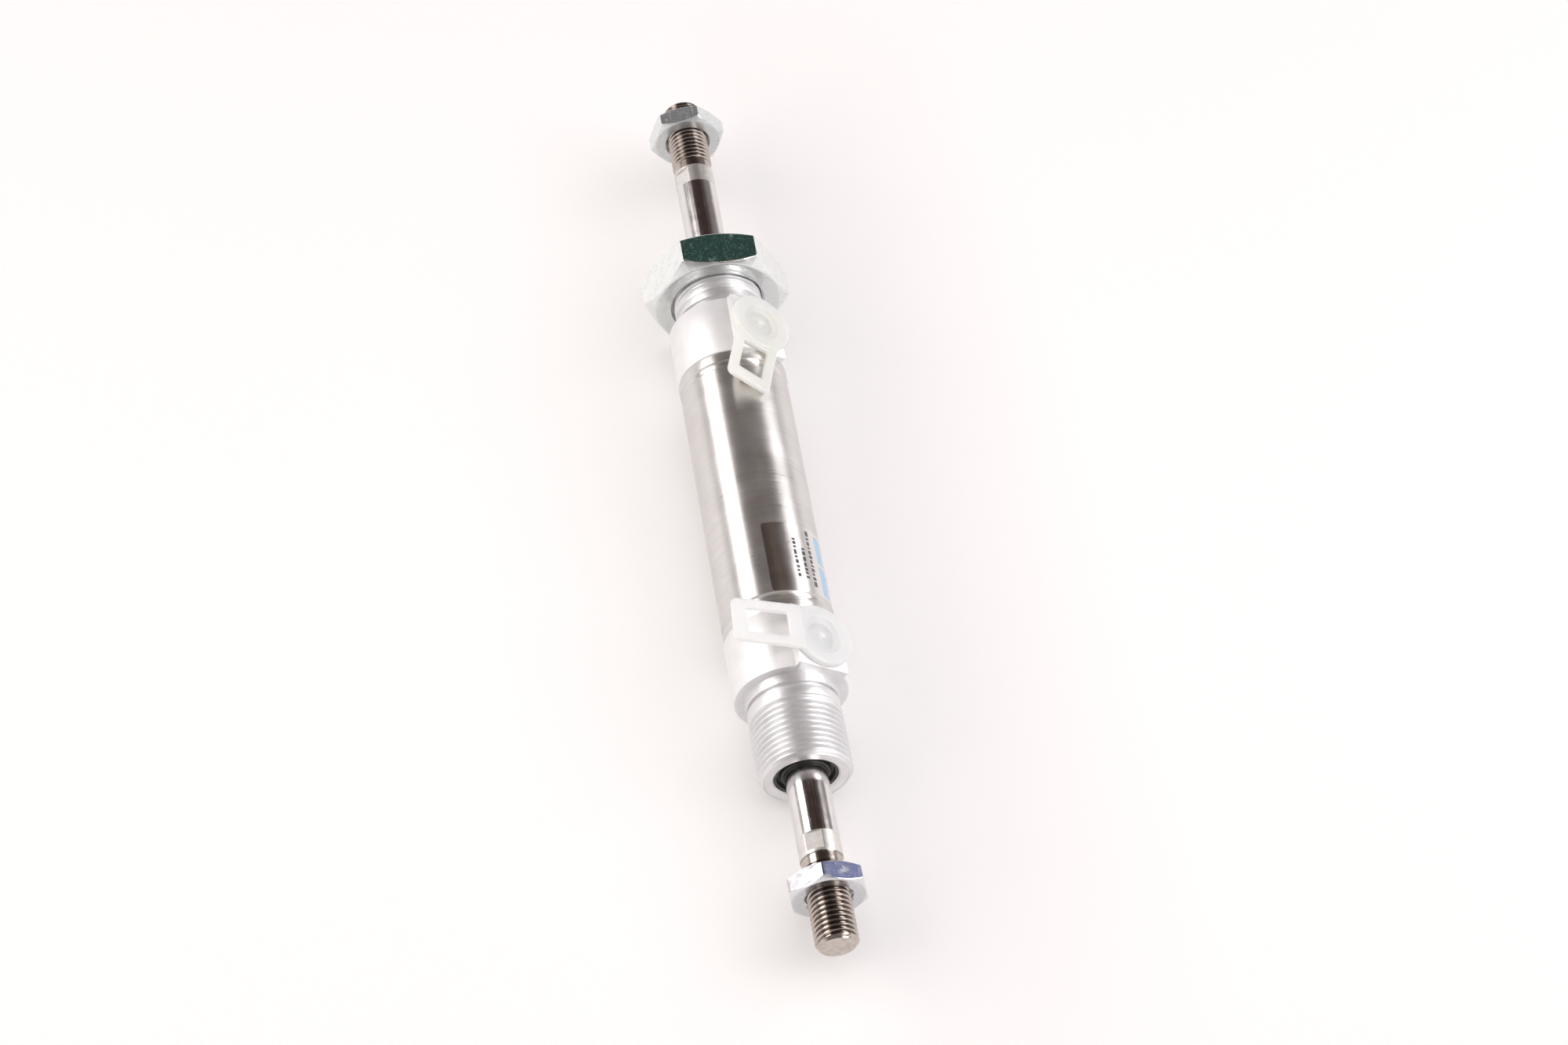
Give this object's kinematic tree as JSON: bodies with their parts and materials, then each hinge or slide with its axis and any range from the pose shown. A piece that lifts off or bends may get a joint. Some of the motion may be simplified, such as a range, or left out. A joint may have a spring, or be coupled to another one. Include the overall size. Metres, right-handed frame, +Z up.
{
  "type": "pneumatic cylinder",
  "caption": "Round double-acting pneumatic cylinder with a through rod, threaded necks, mounting nut, rod nuts and plugged ports.",
  "frame": {"origin": "on the long axis, in the plane of the near mounting shoulder, where the near neck starts", "axes": "+Y along the long axis towards the end with the mounting nut; +Z up as the cylinder lies on a flat of that nut; both ports look out between +Z and +X"},
  "size_m": [0.037, 0.2495, 0.0369],
  "materials": {
    "tube_steel": "stainless steel tube, fine polish around the tube, bright",
    "cap_alloy": "machined aluminium, satin, pale",
    "bush_bronze": "sintered bronze, dull, oil-filled",
    "seal_rubber": "black elastomer, slightly greased",
    "buffer_elastomer": "amber polyurethane, matte",
    "label_foil": "silvery clear film, glossy",
    "zinc_steel": "bright zinc plate with a faint blue cast, fine scratches",
    "plug_plastic": "natural polyethylene, milky and slightly translucent, waxy",
    "rod_chrome": "hard chrome polish on the rod, turned steel at the ends",
    "clip_steel": "oiled spring steel",
    "guide_plastic": "ivory low-friction plastic"
  },
  "bodies": {
    "barrel": {"cylinder_tube": "tube_steel", "end_cap_near": "cap_alloy", "end_cap_far": "cap_alloy", "bush_near": "bush_bronze", "bush_far": "bush_bronze", "rod_seal_near": "seal_rubber", "rod_seal_far": "seal_rubber", "tube_o_ring_near": "seal_rubber", "tube_o_ring_far": "seal_rubber", "buffer_near": "buffer_elastomer", "buffer_far": "buffer_elastomer", "label_film": "label_foil"},
    "piston_packing": {"piston_seal_near": "seal_rubber", "piston_seal_far": "seal_rubber", "guide_ring": "guide_plastic"},
    "rod": {"piston_rod": "rod_chrome", "piston": "cap_alloy", "rod_o_ring": "seal_rubber", "clip_near": "clip_steel", "clip_far": "clip_steel"},
    "mounting_nut_body": {"mounting_nut": "zinc_steel"},
    "rod_nut_near_body": {"rod_nut_near": "zinc_steel"},
    "rod_nut_far_body": {"rod_nut_far": "zinc_steel"},
    "port_plug_near_body": {"port_plug_near": "plug_plastic"},
    "port_plug_far_body": {"port_plug_far": "plug_plastic"}
  },
  "joints": [
    {"name": "rod_slide", "type": "slide", "parent": "barrel", "child": "piston_packing", "axis": [0, 1, 0], "range_m": [-0.024, 0.016]},
    {"name": "rod_turn", "type": "hinge", "parent": "piston_packing", "child": "rod", "pos_m": [0, 0.05875, 0], "axis": [0, 1, 0], "continuous": true},
    {"name": "mounting_nut_turn", "type": "hinge", "parent": "barrel", "child": "mounting_nut_body", "pos_m": [0, 0.1234, 0], "axis": [0, 1, 0], "continuous": true},
    {"name": "rod_nut_near_turn", "type": "hinge", "parent": "rod", "child": "rod_nut_near_body", "pos_m": [0, -0.05125, 0], "axis": [0, 1, 0], "continuous": true},
    {"name": "rod_nut_far_turn", "type": "hinge", "parent": "rod", "child": "rod_nut_far_body", "pos_m": [0, 0.17545, 0], "axis": [0, 1, 0], "continuous": true},
    {"name": "port_plug_near_pull", "type": "slide", "parent": "barrel", "child": "port_plug_near_body", "axis": [0.515, 0, 0.8572], "range_m": [0, 0.012]},
    {"name": "port_plug_far_pull", "type": "slide", "parent": "barrel", "child": "port_plug_far_body", "axis": [0.515, 0, 0.8572], "range_m": [0, 0.012]}
  ]
}
